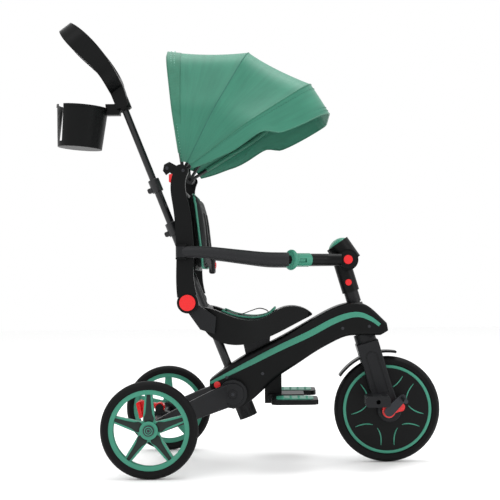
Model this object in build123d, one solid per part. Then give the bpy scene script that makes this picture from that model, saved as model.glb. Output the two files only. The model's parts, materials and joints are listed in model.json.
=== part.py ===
"""A child's folding tricycle with a push handle, a safety-arm seat and a folding canopy.

Millimetres. +X is forwards, +Z is up, and +Y is the rider's left. The origin is on the ground,
midway between the foremost and the rearmost point. Each piece is written to parts/NODE.step.
"""
from build123d import *
from math import cos, radians, sin
import os

# ---- driving dimensions: wheels -------------------------------------------------------------
wheelbase = 538.0
front_wheel_radius = 125.0
rear_wheel_radius = 107.5
front_tyre_width = 30.0
rear_tyre_width = 26.0
front_tyre_depth = 19.0
rear_tyre_depth = 19.0
rear_half_track = 215.0
rear_axle_radius = 6.0
running_gap = 0.1
side_gap = 0.4

# ---- driving dimensions: steering -----------------------------------------------------------
rake = 16.5
steerer_radius = 14.0
stem_radius = 17.0
sleeve_radius = 20.5
leg_width = 52.0
leg_inner = 23.0
leg_thickness = 15.0
crown_low = 144.0
crown_high = 166.0
neck_radius = 25.0
neck_top = 186.0
stem_foot = 263.0
stem_top = 330.0
height_travel = 20.0
sleeve_foot = 290.0
crank_length = 44.0
crank_inner = 60.0
crank_thickness = 9.0
pedal_inner = 74.0
pedal_width = 72.0
pedal_length = 56.0
pedal_height = 24.0
boss_forward = 13.5
boss_height = 364.6
journal_radius = 14.0
horn_eye_radius = 21.0
horn_eye_inner = 31.0
horn_eye_width = 15.0
horn_radius = 14.0
horn_core_radius = 10.0
bumper_radius = 23.0

# ---- driving dimensions: frame --------------------------------------------------------------
beam_half_width = 42.0
beam_wall = 4.0
beam_round = 8.0
spine_half_width = 13.0
pivot_x = -29.0
pivot_z = 168.5
pivot_pin_radius = 10.0
leg_eye_radius = 33.0
leg_eye_width = 18.0
leg_hub_radius = 18.0
leg_hub_width = 30.0
cross_tube_radius = 11.0

# ---- driving dimensions: push handle --------------------------------------------------------
pole_foot_x = -8.6
pole_foot_z = 145.0
pole_lean = 21.44
tube_wall = 0.8
tube_gap = 0.1
lower_tube_radius = 10.0
middle_tube_radius = lower_tube_radius - tube_wall - 2 * tube_gap
upper_tube_radius = middle_tube_radius - tube_wall - tube_gap
lower_collar_at = 425.0
collar_length = 32.0
middle_collar_at = 535.0
middle_tube_length = 270.0
neck_at = 742.0
neck_length = 56.0
cup_radius = 60.0
cup_height = 98.0
cup_wall = 3.0
grip_half_width = 58.0
grip_bar = 23.0

# ---- driving dimensions: seat, backrest and arms ----------------------------------------------
seat_half_width = 118.0
seat_nose_half_width = 46.0
bracket_thickness = 15.0
post_inner = 134.0
post_thickness = 12.0
recline_x = -125.0
recline_z = 383.0
recline_pin_radius = 8.0
back_button_radius = 18.0
arm_height = 497.0
arm_hinge_x = -137.0
arm_y = 161.0
arm_radius = 14.5
arm_core_radius = 6.0
arm_front_x = 101.0
arm_front_z = 478.0
knuckle_radius = 12.0

# ---- driving dimensions: canopy -------------------------------------------------------------
hinge_x = -136.4
hinge_z = 680.0
bow_radius = 4.0
panel_thickness = 2.0
rear_bow_angle = 97.0
middle_bow_angle = 61.0
front_bow_angle = 34.0
visor_angle = 20.5
rear_bow_reach = 288.0
middle_bow_reach = 308.0
front_bow_reach = 348.0
rear_bow_bulge = 148.0
middle_bow_bulge = 164.0
front_bow_bulge = 186.0

# ---- places worked out from the dimensions ----------------------------------------------------
front_axle_x = 332.5
front_axle_z = front_wheel_radius
rear_axle_x = front_axle_x - wheelbase
rear_axle_z = rear_wheel_radius
front_edge = front_axle_x + front_wheel_radius
cup_x = -386.0
rear_edge = cup_x - cup_radius - 1.4
centre_x = (front_edge + rear_edge) / 2
steering = Location((front_axle_x, 0, front_axle_z), (0, -rake, 0))
pole = Location((pole_foot_x, 0, pole_foot_z), (0, -pole_lean, 0))


# ---- small helpers ----------------------------------------------------------------------------
def write(node, *solids):
    """Moves the solids from the axle frame to the part's own origin and writes one STEP file."""
    moved = [Pos(-centre_x, 0, 0) * solid for solid in solids]
    pieces = [piece for solid in moved for piece in solid.solids()]
    shape = pieces[0] if len(pieces) == 1 else Compound(children=pieces)
    export_step(shape, f"parts/{node}.step")


def slab(face, low, high):
    """Extrudes a face drawn in the X-Z plane from y = low to y = high."""
    return Pos(0, high, 0) * extrude(face, amount=high - low, dir=(0, -1, 0))


def outline(*edges):
    """A face in the X-Z plane, from edges drawn in x and z."""
    return make_face([edge for part in edges for edge in (Plane.XZ * part).edges()])


def flat_face(*curves):
    """A face in the X-Y plane, from the curves that close round it."""
    return make_face([edge for curve in curves for edge in curve.edges()])


def polygon(*points):
    return outline(Polyline(*points, close=True))


def disc(x, z, radius, low, high):
    """A cylinder along Y."""
    return Pos(x, (low + high) / 2, z) * Rot(90, 0, 0) * Cylinder(radius, high - low)


def tube(x, z, outer, inner, low, high):
    return disc(x, z, outer, low, high) - disc(x, z, inner, low - 1, high + 1)


def post(radius, low, high):
    """A cylinder along Z in a local frame."""
    return Pos(0, 0, (low + high) / 2) * Cylinder(radius, high - low)


def other_side(solid):
    return mirror(solid, about=Plane.XZ)


def ring_profile(points):
    """Revolves a closed outline of (radius, y) points about the Y axis."""
    return revolve(make_face(Polyline(*points, close=True)), Axis.Y, 360)


def run_between(start, end, radius):
    """A straight round bar between two points."""
    direction = Vector(*end) - Vector(*start)
    plane = Plane(origin=start, z_dir=direction)
    return extrude(plane * Circle(radius), amount=direction.length)


# ---- wheels -------------------------------------------------------------------------------------
def tyre(radius, width, depth):
    inner = radius - depth
    half = width / 2
    shoulder = radius - depth * 0.45
    edges = (
        Polyline((shoulder, -half), (inner + 1, -half + 2), (inner, -half + 4), (inner, half - 4),
                 (inner + 1, half - 2), (shoulder, half)),
        ThreePointArc((shoulder, half), (radius, 0), (shoulder, -half)),
    )
    body = revolve(flat_face(*edges), Axis.Y, 360)
    for y in (-width / 5, width / 5):
        groove = Pos(0, y, 0) * Rot(90, 0, 0) * Torus(radius, 1.3)
        body -= groove
    return body


def spoke(inner, outer, inner_width, outer_width, low, high):
    half_in, half_out = inner_width / 2, outer_width / 2
    return slab(polygon((-half_in, inner), (half_in, inner), (half_out, outer), (-half_out, outer)), low, high)


def rear_rim():
    seat = rear_wheel_radius - rear_tyre_depth
    half = rear_tyre_width / 2 - 4
    rim = ring_profile([(seat - 10, -half), (seat, -half), (seat, half), (seat - 10, half),
                        (seat - 6, half - 3), (seat - 6, -half + 3)])
    rim += tube(0, 0, 20, rear_axle_radius + running_gap, -12, 12)
    for i in range(5):
        arm = spoke(16, seat - 5, 27, 15, -6, 6)
        rim += Rot(0, 72 * i, 0) * arm
        rim += Rot(0, 72 * i, 0) * slab(polygon((-16, 14), (16, 14), (7.5, 40), (-7.5, 40)), -6, 6)
    return rim - disc(0, 0, rear_axle_radius + running_gap, -30, 30)


def rear_wheels():
    for side, sign in (("right", -1), ("left", 1)):
        place = Pos(rear_axle_x, sign * rear_half_track, rear_axle_z)
        write(f"rear_tyre_{side}", place * tyre(rear_wheel_radius, rear_tyre_width, rear_tyre_depth))
        write(f"rear_rim_{side}", place * rear_rim())


def front_wheel():
    place = Pos(front_axle_x, 0, front_axle_z)
    seat = front_wheel_radius - front_tyre_depth
    half = front_tyre_width / 2
    write("front_tyre", place * tyre(front_wheel_radius, front_tyre_width, front_tyre_depth))
    core = tube(0, 0, seat, seat - 9, -half + 4, half - 4) + tube(0, 0, 20, 9, -half + 4, half - 4)
    for i in range(5):
        core += Rot(0, 72 * i, 0) * spoke(18, seat - 8, 16, 16, -4, 4)
    write("front_wheel_core", place * core)
    face = half - 4
    cover = ring_profile([(9, face + 5), (30, face + 5), (seat - 8, face + 2.5), (seat - 2, face), (seat - 12, face),
                          (30, face + 2.5), (9, face + 2.5)])
    write("front_covers", place * cover, place * other_side(cover))


def front_crank():
    """One cranked axle: the shaft, two arms and two pedal spindles half a turn apart."""
    place = Pos(front_axle_x, 0, front_axle_z)
    spindle_end = pedal_inner + pedal_width - 6
    axle = disc(0, 0, 9, -crank_inner, crank_inner)
    for sign in (-1, 1):
        low, high = sorted((sign * crank_inner, sign * (crank_inner + crank_thickness)))
        arm = slab(outline(
            Line((-11, 0), (-9, crank_length)), ThreePointArc((-9, crank_length), (0, crank_length + 9), (9, crank_length)),
            Line((9, crank_length), (11, 0)), ThreePointArc((11, 0), (0, -11), (-11, 0))), low, high)
        low, high = sorted((sign * crank_inner, sign * spindle_end))
        arm += disc(0, crank_length, 5, low, high)
        axle += Rot(0, -sign * 90 - 45, 0) * arm
    write("front_crank", place * axle)


def pedal_centre(sign):
    """Where a pedal's spindle stands: the right pedal is up and back, the left one down and ahead."""
    return (front_axle_x + sign * crank_length * cos(radians(45)), front_axle_z - sign * crank_length * sin(radians(45)))


def pedals():
    for side, sign in (("right", -1), ("left", 1)):
        x, z = pedal_centre(sign)
        block = Box(pedal_length, pedal_width, pedal_height)
        block = fillet(block.edges().filter_by(Axis.Y), 7)
        for shift in (-1, 1):
            for y in (-18, 0, 18):
                block -= Pos(shift * 17, y, 0) * Box(12, 9, pedal_height + 2)
        block -= Rot(90, 0, 0) * Cylinder(5 + running_gap, pedal_width + 2)
        write(f"pedal_{side}", Pos(x, sign * (pedal_inner + pedal_width / 2), z) * block)


def clutch_dial():
    """The red lobe that locks the cranks to the wheel, turning on the axle outside the right fork leg."""
    low, high = -crank_inner + side_gap, -(leg_inner + leg_thickness + side_gap + 3)
    ring = tube(0, 0, 15, 9 + running_gap, low, high)
    lobe = Rot(0, 70, 0) * slab(outline(
        Line((-9, 12), (-9, 24)), ThreePointArc((-9, 24), (0, 39), (9, 24)), Line((9, 24), (9, 12)), Line((9, 12), (-9, 12))), low, high)
    write("clutch_dial", Pos(front_axle_x, 0, front_axle_z) * (ring + lobe))


# ---- fork, stem and handlebar ---------------------------------------------------------------
def front_fork():
    half = leg_width / 2
    outer = leg_inner + leg_thickness
    leg = slab(outline(
        Polyline((-half + 4, 10), (-half, 60), (-half, crown_high), (half, crown_high), (half, 60), (half + 2, 12)),
        ThreePointArc((half + 2, 12), (2, -29), (-half + 4, 10))), -outer, -leg_inner)
    leg = fillet(leg.faces().sort_by(Axis.Y)[0].edges(), 4)
    recess = slab(outline(
        Line((-15, 40), (-15, 130)), ThreePointArc((-15, 130), (0, 145), (15, 130)),
        Line((15, 130), (15, 40)), Line((15, 40), (-15, 40))), -outer - 1, -outer + 2)
    rib = slab(outline(
        Line((-11, 44), (-11, 130)), ThreePointArc((-11, 130), (0, 141), (11, 130)),
        Line((11, 130), (11, 44)), Line((11, 44), (-11, 44))), -outer - 1, -outer + 2)
    leg -= recess - rib
    fork = leg + other_side(leg)
    crown = Pos(0, 0, (crown_low + crown_high) / 2) * Box(leg_width, 2 * outer, crown_high - crown_low)
    fork += fillet(crown.edges().filter_by(Axis.X), 5)
    fork += post(neck_radius, crown_high - 1, neck_top) + post(steerer_radius, neck_top - 1, stem_foot + 1)
    fork += post(stem_radius, stem_foot, stem_top)
    fork -= Location((0, 0, 0)) * disc(0, 0, 9 + running_gap, -outer - 1, outer + 1)
    write("front_fork", steering * fork)


def mudguard():
    inner, outer, half = front_wheel_radius + 9, front_wheel_radius + 14, leg_inner - 2
    first, last = radians(64), radians(128)
    middle = (first + last) / 2

    def at(radius, angle):
        return (radius * cos(angle), radius * sin(angle))

    guard = slab(outline(
        ThreePointArc(at(outer, first), at(outer, middle), at(outer, last)), Line(at(outer, last), at(inner, last)),
        ThreePointArc(at(inner, last), at(inner, middle), at(inner, first)), Line(at(inner, first), at(outer, first))), -half, half)
    pad = Pos(0, 0, (outer + crown_low) / 2) * Box(30, 30, crown_low - outer + 3) - disc(0, 0, outer - 2, -half, half)
    write("mudguard", steering * (guard + pad - Pos(0, 0, crown_low + 10) * Box(80, 80, 20)))


def t_bar():
    axis_lean = Location((boss_forward + 5, 0, boss_height - 8), (0, -18, 0))
    head = post(sleeve_radius, sleeve_foot, boss_height)
    head += axis_lean * (Pos(0, 0, 27) * Cylinder(29, 54))
    head += disc(boss_forward, boss_height, 25, -horn_eye_inner + side_gap, horn_eye_inner - side_gap)
    half = horn_eye_inner + horn_eye_width
    head += disc(boss_forward, boss_height, journal_radius, -half, half)
    for sign in (-1, 1):
        low, high = sorted((sign * (half - 9), sign * (half + 1)))
        head -= disc(boss_forward, boss_height, 10.6, low, high)
    head -= post(stem_radius + running_gap, sleeve_foot - 1, stem_top + height_travel + 2)
    head -= Pos(0, -sleeve_radius, 313) * Rot(90, 0, 0) * Cylinder(7.6, 8)
    write("t_bar_head", steering * head)
    dome = Pos(0, 0, 54 - 24) * Sphere(34) & (Pos(0, 0, 54 + 10) * Cylinder(25, 20))
    write("t_bar_cap", steering * axis_lean * dome)
    button = Pos(0, -sleeve_radius - 1, 313) * Rot(90, 0, 0) * Cylinder(7.4, 4.8)
    write("stem_button", steering * button)


def horns():
    """A swept-back grip on each side, its eye turning on the head's journal."""
    centre = steering * Pos(boss_forward, 0, boss_height)
    x, z = centre.position.X, centre.position.Z
    for side, sign in (("right", -1), ("left", 1)):
        low, high = sorted((sign * horn_eye_inner, sign * (horn_eye_inner + horn_eye_width)))
        path = FilletPolyline((x - 16, sign * 44.5, z), (x - 50, sign * 46.5, z), (x - 92, sign * 75, z), radius=60)
        bar = sweep(Plane(origin=path @ 0, z_dir=path % 0) * Circle(horn_radius), path=path)
        end = path @ 1
        direction = path % 1
        core_end = end + direction * 54
        core = run_between(end - direction, core_end, horn_core_radius)
        eye = disc(x, z, horn_eye_radius, low, high)
        horn = eye + bar + core - disc(x, z, journal_radius + running_gap, -60, 60)
        horn -= disc(x, z, 25 + side_gap, -horn_eye_inner, horn_eye_inner)
        write(f"horn_{side}", horn)
        sleeve = run_between(end, end + direction * 50, horn_radius + 1)
        flange = run_between(end + direction * 44, end + direction * 54, bumper_radius)
        flange = fillet(flange.edges(), 4)
        grip = sleeve + flange
        grip -= run_between(end - direction, end + direction * 56, horn_core_radius)
        window = Pos(*(end + direction * 22)) * Box(26, 40, 9)
        grip -= Pos(0, 0, -2) * window - run_between(end - direction, end + direction * 60, horn_core_radius + 2)
        write(f"grip_end_{side}", grip)
        half = horn_eye_inner + horn_eye_width
        low, high = sorted((sign * (half - 8.6 + 3), sign * (half + 3)))
        cap = disc(x, z, 10.5, low, high)
        write(f"horn_button_{side}", cap)


# ---- frame beam ---------------------------------------------------------------------------------
def beam_face(inset):
    """The arched beam's side view, drawn inset from its outer skin."""
    i = inset
    top = Spline((-84 + i, 200), (-52 + i * 0.5, 224 - i), (0, 257 - i), (66, 290 - i), (146, 334 - i), (193, 360 - i),
                 (237, 376 - i), (277, 375 - i), (309 - i * 0.7, 352 - i * 0.7), (331 - i, 330))
    bottom = Spline((256, 301 + i), (233, 298 + i), (207, 287 + i), (160, 261 + i), (116, 232 + i), (72, 203 + i),
                    (30, 165 + i), (-2 - i * 0.5, 140 + i))
    nose = Polyline((331 - i, 330), (334 - i, 312), (316, 301 + i), (256, 301 + i))
    tail = Polyline((-2 - i * 0.5, 140 + i), (-29, 132 + i), (-58 + i * 0.7, 144 + i * 0.7), (-84 + i, 186), (-84 + i, 200))
    return outline(top, bottom, nose, tail)


def steering_cut(radius, low, high):
    return steering * post(radius, low, high)


def frame_beam():
    outer = slab(beam_face(0), -beam_half_width, beam_half_width)
    outer = fillet(outer.edges().filter_by(GeomType.BSPLINE), beam_round)
    hollow = slab(beam_face(beam_wall), -beam_half_width + beam_wall, beam_half_width - beam_wall)
    shell = outer - hollow
    shell -= steering_cut(sleeve_radius + 1, neck_top, stem_foot + 20)
    shell -= steering_cut(neck_radius + 1, neck_top - 40, neck_top + 1)
    shell -= pole * (post(lower_tube_radius + 3, -20, 140) + post(23, -40, -3))
    shell -= disc(pivot_x, pivot_z, pivot_pin_radius, -60, 60)
    shell -= disc(-66, 189, 8, -60, -30)
    for side, sign in (("right", -1), ("left", 1)):
        write(f"frame_shell_{side}", shell & (Pos(100, sign * 100, 200) * Box(800, 200, 500)))


def frame_spine():
    """The welded steel core: a spine, the head tube and the socket that the push pole stands in."""
    bar = slab(polygon((-20, 190), (0, 205), (120, 275), (235, 335), (262, 326), (140, 259), (20, 190), (-10, 160)),
               -spine_half_width, spine_half_width)
    head = steering * post(steerer_radius + 5, neck_top + 3, stem_foot - 3)
    socket = pole * post(lower_tube_radius + 2.6, -4, 92)
    boss = disc(pivot_x, pivot_z, 15, -beam_half_width + beam_wall, beam_half_width - beam_wall)
    spine = bar + head + socket + boss
    spine -= steering * post(steerer_radius + running_gap, 100, 300)
    spine -= pole * post(lower_tube_radius, -3, 200)
    for sign in (-1, 1):
        low, high = sorted((sign * 16, sign * 60))
        spine -= disc(pivot_x, pivot_z, pivot_pin_radius, low, high)
    write("frame_spine", spine)


def fasteners():
    """Two rear pivot pins and the button-head screws along the beam."""
    eye_end = beam_half_width + 2 + leg_eye_width
    pin = disc(pivot_x, pivot_z, pivot_pin_radius, -eye_end, -16)
    screw = disc(0, 0, 3.5, -beam_half_width - 1.2, -beam_half_width)
    screws = [Pos(x, 0, z) * screw for x, z in ((228, 318), (290, 322), (40, 214), (-44, 206))]
    pieces = [pin, *screws]
    write("frame_fasteners", *pieces, *[other_side(piece) for piece in pieces])


def fold_button():
    low = -beam_half_width - 2.5
    write("fold_button", disc(-66, 189, 7.8, low, -31))


# ---- rear fork ------------------------------------------------------------------------------------
def rear_legs():
    eye_low = beam_half_width + 2
    eye_high = eye_low + leg_eye_width
    hub_high = rear_half_track - rear_tyre_width / 2 - 4
    hub_low = hub_high - leg_hub_width

    def section(x, y, z, width, height):
        return Plane(origin=(x, -y, z), x_dir=(0, 1, 0), z_dir=(-1, 0, 0)) * RectangleRounded(width, height, 5)

    end_x = rear_axle_x + 8
    leg = loft([section(pivot_x - 8, eye_low + leg_eye_width / 2, pivot_z - 2, leg_eye_width, 58),
                section(-100, 104, 145, 19, 50),
                section(end_x, (hub_low + hub_high) / 2 - 4, rear_axle_z, 20, 32)])
    leg += disc(pivot_x, pivot_z, leg_eye_radius, -eye_high, -eye_low)
    leg += disc(rear_axle_x, rear_axle_z, leg_hub_radius, -hub_high, -hub_low)
    leg -= disc(pivot_x, pivot_z, pivot_pin_radius + running_gap, -eye_high - 1, -eye_low + 1)
    leg -= disc(pivot_x, pivot_z, 120, -eye_low, 0)
    leg -= disc(rear_axle_x, rear_axle_z, rear_axle_radius, -hub_high - 1, 0)
    leg -= disc(rear_axle_x, rear_axle_z, 60, -eye_low - 70, 0)
    cap = disc(pivot_x, pivot_z, 26, -eye_high - 5, -eye_high)
    leg += fillet(cap.faces().sort_by(Axis.Y)[0].edges(), 3)
    write("rear_leg_right", leg)
    write("rear_leg_left", other_side(leg))
    axle_end = rear_half_track + 12
    rod = disc(rear_axle_x, rear_axle_z, rear_axle_radius, -axle_end, axle_end)
    rod += disc(rear_axle_x, rear_axle_z, cross_tube_radius, -hub_low, hub_low)
    for sign in (-1, 1):
        low, high = sorted((sign * (axle_end + side_gap), sign * (axle_end + 4)))
        rod += disc(rear_axle_x, rear_axle_z, 12, low, high)
        low, high = sorted((sign * (axle_end - 1), sign * (axle_end + 1)))
        rod += disc(rear_axle_x, rear_axle_z, rear_axle_radius, low, high)
    write("rear_axle", rod)


brake_x = rear_axle_x + 1
brake_z = rear_axle_z + 26


def brake():
    """A foot brake in a housing clamped round the middle of the cross tube."""
    body = fillet(Box(44, 30, 32).edges().filter_by(Axis.Y), 8)
    ear = slab(outline(Line((brake_x - 9, rear_axle_z + 8), (brake_x - 9, brake_z)),
                       ThreePointArc((brake_x - 9, brake_z), (brake_x, brake_z + 9), (brake_x + 9, brake_z)),
                       Line((brake_x + 9, brake_z), (brake_x + 9, rear_axle_z + 8)),
                       Line((brake_x + 9, rear_axle_z + 8), (brake_x - 9, rear_axle_z + 8))), 10.6, 14.5)
    housing = Pos(rear_axle_x + 4, 0, rear_axle_z) * body + ear + other_side(ear)
    housing -= disc(rear_axle_x, rear_axle_z, cross_tube_radius, -30, 30)
    housing -= disc(brake_x, brake_z, 12.5, -10.6, 10.6)
    housing += disc(brake_x, brake_z, 4, -13, 13)
    write("brake_housing", housing)
    lever = disc(brake_x, brake_z, 11.5, -10, 10)
    lever += slab(polygon((brake_x - 6, brake_z + 9), (brake_x - 44, brake_z + 16), (brake_x - 52, brake_z + 12),
                          (brake_x - 44, brake_z - 22), (brake_x - 36, brake_z - 20), (brake_x - 36, brake_z + 2),
                          (brake_x - 8, brake_z - 1)), -10, 10)
    pad = slab(polygon((brake_x - 46, brake_z + 17), (brake_x - 54, brake_z + 12), (brake_x - 46, brake_z - 24),
                       (brake_x - 38, brake_z - 22)), -26, 26)
    lever += fillet(pad.edges().filter_by(Axis.Y), 2)
    lever -= disc(brake_x, brake_z, 4 + running_gap, -30, 30)
    write("brake_pedal", lever)


# ---- footrest ---------------------------------------------------------------------------------------
footrest_z = 158.0
footrest_hinge_y = 50.0


def footrest():
    base = slab(polygon((44, 190), (84, 214), (84, 150), (70, 142), (44, 142)), -16, 16)
    base += Pos(94, 0, footrest_z) * fillet(Box(84, 2 * footrest_hinge_y - 16, 14).edges().filter_by(Axis.Z), 6)
    for sign in (-1, 1):
        for x in (68, 120):
            base += Pos(x, sign * (footrest_hinge_y - 6), footrest_z) * Box(12, 12, 10)
            base += Pos(x, sign * footrest_hinge_y, footrest_z) * Rot(0, 90, 0) * Cylinder(5, 12)
    for sign in (-1, 1):
        base += Pos(94, sign * footrest_hinge_y, footrest_z) * Rot(0, 90, 0) * Cylinder(2.5, 64)
    base -= slab(beam_face(0), -60, 60)
    write("footrest_post", base)
    for side, sign in (("right", -1), ("left", 1)):
        width = 100.0
        pad = Pos(114, sign * (footrest_hinge_y + 6 + width / 2), footrest_z) * Box(106, width, 11)
        pad = fillet(pad.edges().filter_by(Axis.Z), 18)
        pad = fillet(pad.faces().sort_by(Axis.Z)[-1].edges(), 2)
        pad += Pos(94, sign * (footrest_hinge_y + 5), footrest_z) * Box(39, 11, 10)
        pad += Pos(94, sign * footrest_hinge_y, footrest_z) * Rot(0, 90, 0) * Cylinder(5, 39)
        pad -= Pos(94, sign * footrest_hinge_y, footrest_z) * Rot(0, 90, 0) * Cylinder(2.5 + running_gap, 80)
        write(f"footrest_{side}", pad)


# ---- push pole -----------------------------------------------------------------------------------------
def hollow_post(radius, low, high):
    return post(radius, low, high) - post(radius - tube_wall, low - 1, high + 1)


def collar(radius, bore, at):
    ring = post(radius, at, at + collar_length)
    ring = fillet(ring.edges(), 2)
    lug = Pos(-radius - 2, 0, at + 9) * Box(14, 12, 12)
    lug = fillet(lug.edges().filter_by(Axis.Y), 4)
    return ring + lug - post(bore, at - 1, at + collar_length + 1)


def push_pole():
    lower = hollow_post(lower_tube_radius, -3, lower_collar_at + 10)
    lower += collar(14.5, lower_tube_radius - 0.01, lower_collar_at) - post(lower_tube_radius, 0, lower_collar_at + 9)
    lower -= post(middle_tube_radius + tube_gap, lower_collar_at - 1, lower_collar_at + 60)
    write("pole_lower", pole * lower)
    knob = post(22, -38, -5)
    for i in range(12):
        knob -= Rot(0, 0, 30 * i) * Pos(23, 0, -30) * Cylinder(3, 24)
    knob += post(lower_tube_radius + 2.6, -6, -4)
    write("pole_knob", pole * knob)
    top = middle_collar_at + 10
    middle = hollow_post(middle_tube_radius, top - middle_tube_length, top)
    middle += collar(13.5, middle_tube_radius - 0.01, middle_collar_at) - post(middle_tube_radius, 0, top - 1)
    middle -= post(upper_tube_radius + tube_gap, middle_collar_at - 1, middle_collar_at + 60)
    write("pole_middle", pole * middle)
    upper = hollow_post(upper_tube_radius, middle_collar_at - 60, neck_at + neck_length - 8)
    write("pole_upper", pole * upper)


def grip_loop():
    """A closed loop: its bowed side view, cut by a long rounded ring seen square to it."""
    upper = Spline((-272, 846), (-288, 903), (-318, 957), (-362, 1008), (-412, 1046))
    lower = Spline((-434, 1028), (-390, 968), (-334, 912), (-312, 872), (-299, 838))
    side = slab(outline(upper, ThreePointArc((-412, 1046), (-431, 1045), (-434, 1028)), lower, Line((-299, 838), (-272, 846))),
                -grip_half_width - 2, grip_half_width + 2)
    facing = Plane(origin=(-356, 0, 938), x_dir=(0, 1, 0), z_dir=(0.8, 0, 0.6))
    ring = facing * (Pos(0, 18) * RectangleRounded(2 * grip_half_width, 196, grip_half_width - 1))
    hole = facing * (Pos(0, 18) * RectangleRounded(2 * (grip_half_width - grip_bar), 150, grip_half_width - grip_bar - 1))
    stem = facing * (Pos(0, -98) * Rectangle(34, 90))
    loop = side & (extrude(ring, amount=90, both=True) + extrude(stem, amount=90, both=True)
                   - extrude(hole, amount=100, both=True))
    neck = pole * post(13, neck_at, neck_at + neck_length)
    return loop + fillet(neck.edges(), 2) - pole * post(upper_tube_radius, neck_at - 1, neck_at + neck_length - 8)


def handle_grip():
    write("handle_grip", grip_loop())


cup_top = 846.0


def cup_holder():
    """An open cup with a slot for a mug's handle, on a strap round the handle's neck."""
    bottom = cup_top - cup_height
    place = Location((cup_x - 3, 0, bottom), (0, 4.5, 0))
    foot = cup_radius - 8
    cup = Pos(0, 0, cup_height / 2) * Cone(foot, cup_radius, cup_height)
    cup -= Pos(0, 0, cup_height / 2 + cup_wall) * Cone(foot - cup_wall, cup_radius - cup_wall, cup_height)
    cup -= Pos(-cup_radius + 16, 0, cup_height / 2 + 12) * Box(15, 200, cup_height)
    rim = Pos(0, 0, cup_height - 3) * (Cylinder(cup_radius + 1, 6) - Cylinder(cup_radius - cup_wall, 8))
    cup += rim - Pos(-cup_radius + 16, 0, cup_height) * Box(15, 200, 40)
    cup = place * cup
    strap = pole * (post(17, neck_at + 2, neck_at + 30))
    link = Pos(-309, 0, 838) * Box(34, 22, 26)
    inside = place * (Pos(0, 0, cup_height / 2 + 2) * Cone(foot - cup_wall, cup_radius - cup_wall, cup_height + 4))
    clamp = strap + link - pole * post(13, neck_at - 20, neck_at + 80) - inside - grip_loop()
    write("cup_holder", cup + clamp)


# ---- seat ---------------------------------------------------------------------------------------------
def plan_face(inset):
    """The seat seen from above: wide behind, drawn in to a saddle nose."""
    i = inset
    rear, nose = seat_half_width - i, seat_nose_half_width - i
    half = [(-98 + i, rear - 22), (-84 + i, rear - 4), (-60, rear), (-10, rear - 6), (40, rear - 30), (84, nose + 18),
            (122, nose), (148 - i, nose - 14)]
    right = Spline(*[(x, -y) for x, y in half])
    left = Spline(*half)
    return flat_face(right, left, Line((half[0][0], -half[0][1]), half[0]), ThreePointArc(
        (half[-1][0], -half[-1][1]), (half[-1][0] + 10, 0), half[-1]))


def seat():
    top = Spline((-98, 372), (-74, 368), (-38, 354), (12, 341), (48, 347), (78, 364), (104, 371), (134, 367), (160, 350))
    bottom = Spline((160, 350), (110, 326), (66, 305), (0, 286), (-60, 295), (-92, 324), (-98, 345))
    profile = outline(top, bottom, Line((-98, 345), (-98, 372)))
    seat_plan = extrude(Pos(0, 0, 200) * plan_face(0), amount=300)
    solid = slab(profile, -150, 150) & seat_plan
    dish_top = Spline((-74, 420), (-66, 350), (-20, 334), (30, 330), (60, 340), (76, 372))
    dish = slab(outline(dish_top, Line((76, 372), (76, 420)), Line((76, 420), (-74, 420))), -78, 78)
    dish &= extrude(Pos(0, 0, 200) * plan_face(14), amount=300)
    notch = pole * post(lower_tube_radius + 4, 100, 330)
    solid = solid - dish - notch
    write("seat_shell", solid)
    pad_top = Spline((-55, 362), (-20, 349), (20, 344), (52, 350), (72, 366))
    pad_low = Spline((72, 366), (58, 340.9), (30, 330.5), (-20, 334.5), (-55, 345.5))
    pad = slab(outline(pad_top, pad_low, Line((-55, 345.5), (-55, 362))), -74, 74)
    pad &= extrude(Pos(0, 0, 200) * plan_face(18), amount=300)
    write("seat_pad", pad)
    under = slab(polygon((2, 250), (56, 275), (58, 299), (40, 295), (8, 289), (-6, 288)), -24, 24)
    under -= slab(beam_face(0), -60, 60)
    seat_cut = slab(profile, -150, 150)
    under = under - seat_cut
    outer = seat_half_width + bracket_thickness
    side = slab(outline(
        Line((-141, 383), (-98, 322)), Line((-98, 322), (-66, 312)), Line((-66, 312), (-62, 350)), Line((-62, 350), (-109, 383)),
        ThreePointArc((-109, 383), (-125, 399), (-141, 383))), -outer, -seat_half_width)
    pin_end = outer + post_thickness + 1
    side += disc(recline_x, recline_z, recline_pin_radius, -pin_end, -outer)
    side -= disc(recline_x, recline_z, 5 + running_gap, -pin_end - 1, -pin_end + 10)
    write("seat_mount", under, side, other_side(side))


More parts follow.
